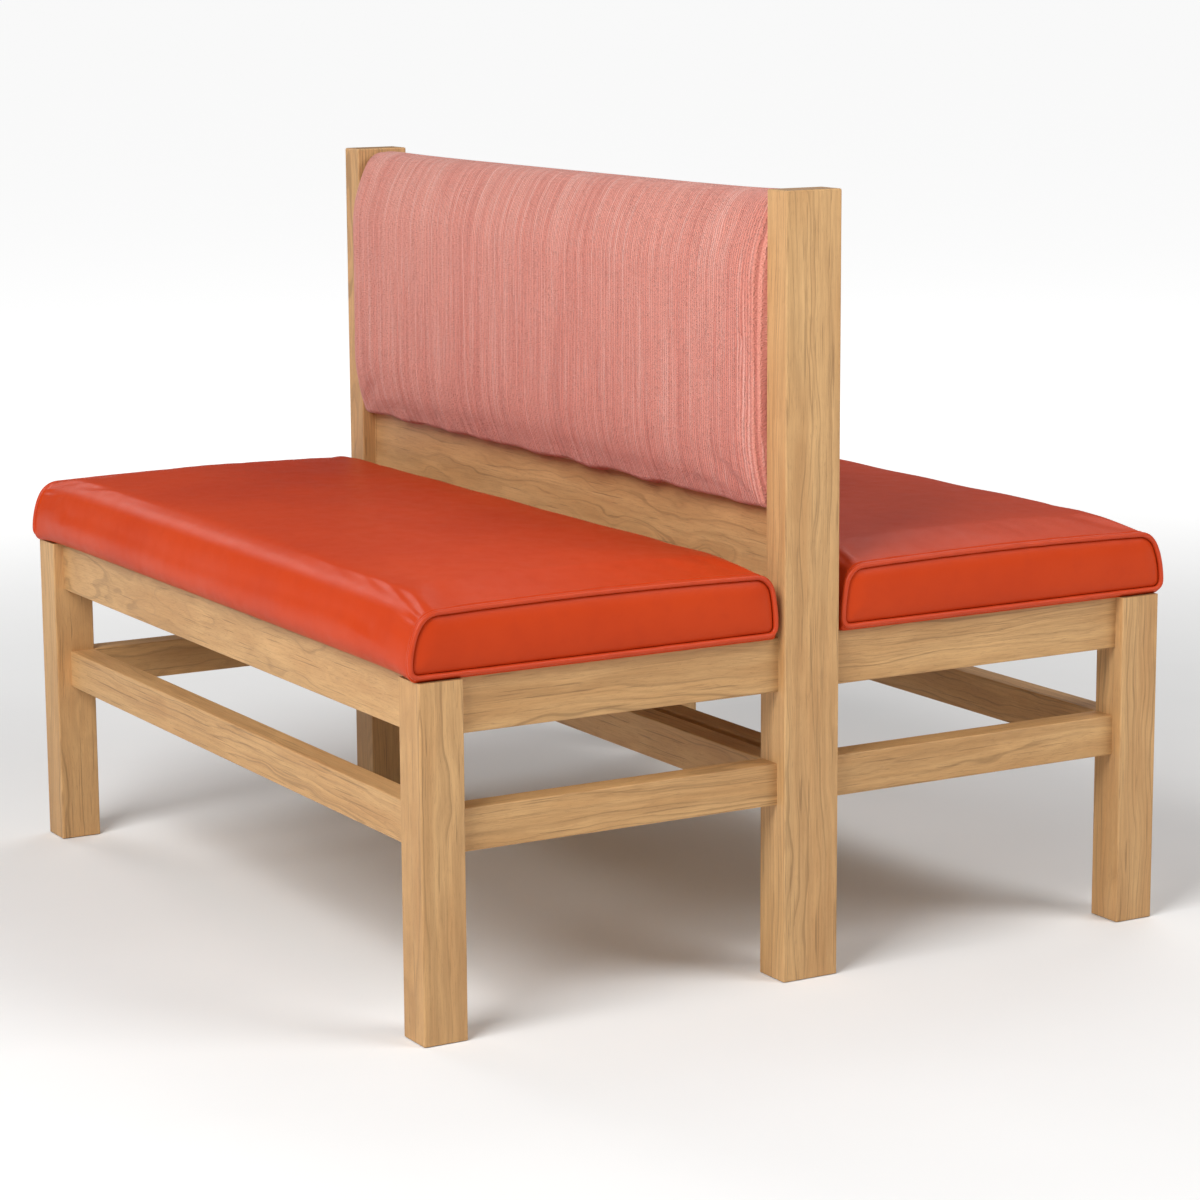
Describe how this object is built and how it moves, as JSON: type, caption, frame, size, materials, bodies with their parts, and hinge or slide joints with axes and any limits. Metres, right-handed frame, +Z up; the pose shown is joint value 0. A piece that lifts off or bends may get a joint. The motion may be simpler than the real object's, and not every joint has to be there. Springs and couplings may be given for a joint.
{
  "type": "restaurant booth bench",
  "caption": "Back-to-back restaurant booth bench: timber frame, two vinyl seat cushions with piped ends and a shared upholstered fabric back between two posts.",
  "frame": {"origin": "on the floor at the centre of the bench, below the middle of the shared back", "axes": "+X along the bench towards its near end, +Y across the seats towards the right seat's front, +Z up"},
  "size_m": [1.115, 1.0318, 0.914],
  "materials": {
    "timber": "satin lacquered hardwood",
    "plywood": "unfinished birch plywood",
    "foam": "open-cell upholstery foam",
    "seat_vinyl": "satin orange-red upholstery vinyl",
    "piping_vinyl": "satin orange-red vinyl over a welt cord",
    "back_fabric": "ribbed salmon pink woven upholstery fabric",
    "screw_steel": "zinc plated",
    "glide_nylon": "matt nylon"
  },
  "bodies": {
    "root": {"back_cover": "back_fabric", "back_lower_rail": "timber", "back_panel_screws": "screw_steel", "back_top_foam": "foam", "back_top_rail": "timber", "corner_block_screws": "screw_steel", "far_centre_post": "timber", "far_left_corner_block": "timber", "far_left_end_rail": "timber", "far_left_end_stretcher": "timber", "far_left_leg": "timber", "far_left_seat_end_panel": "seat_vinyl", "far_left_seat_piping": "piping_vinyl", "far_right_corner_block": "timber", "far_right_end_rail": "timber", "far_right_end_stretcher": "timber", "far_right_leg": "timber", "far_right_seat_end_panel": "seat_vinyl", "far_right_seat_piping": "piping_vinyl", "floor_glides": "glide_nylon", "ledger_screws": "screw_steel", "left_back_foam": "foam", "left_back_panel": "plywood", "left_centre_stretcher": "timber", "left_cross_brace": "timber", "left_front_rail": "timber", "left_front_stretcher": "timber", "left_rear_ledger": "timber", "left_seat_board": "plywood", "left_seat_foam": "foam", "left_seat_wrap_panel": "seat_vinyl", "near_centre_post": "timber", "near_left_corner_block": "timber", "near_left_end_rail": "timber", "near_left_end_stretcher": "timber", "near_left_leg": "timber", "near_left_seat_end_panel": "seat_vinyl", "near_left_seat_piping": "piping_vinyl", "near_right_corner_block": "timber", "near_right_end_rail": "timber", "near_right_end_stretcher": "timber", "near_right_leg": "timber", "near_right_seat_end_panel": "seat_vinyl", "near_right_seat_piping": "piping_vinyl", "right_back_foam": "foam", "right_back_panel": "plywood", "right_centre_stretcher": "timber", "right_cross_brace": "timber", "right_front_rail": "timber", "right_front_stretcher": "timber", "right_rear_ledger": "timber", "right_seat_board": "plywood", "right_seat_foam": "foam", "right_seat_wrap_panel": "seat_vinyl", "seat_screws": "screw_steel"}
  },
  "joints": []
}
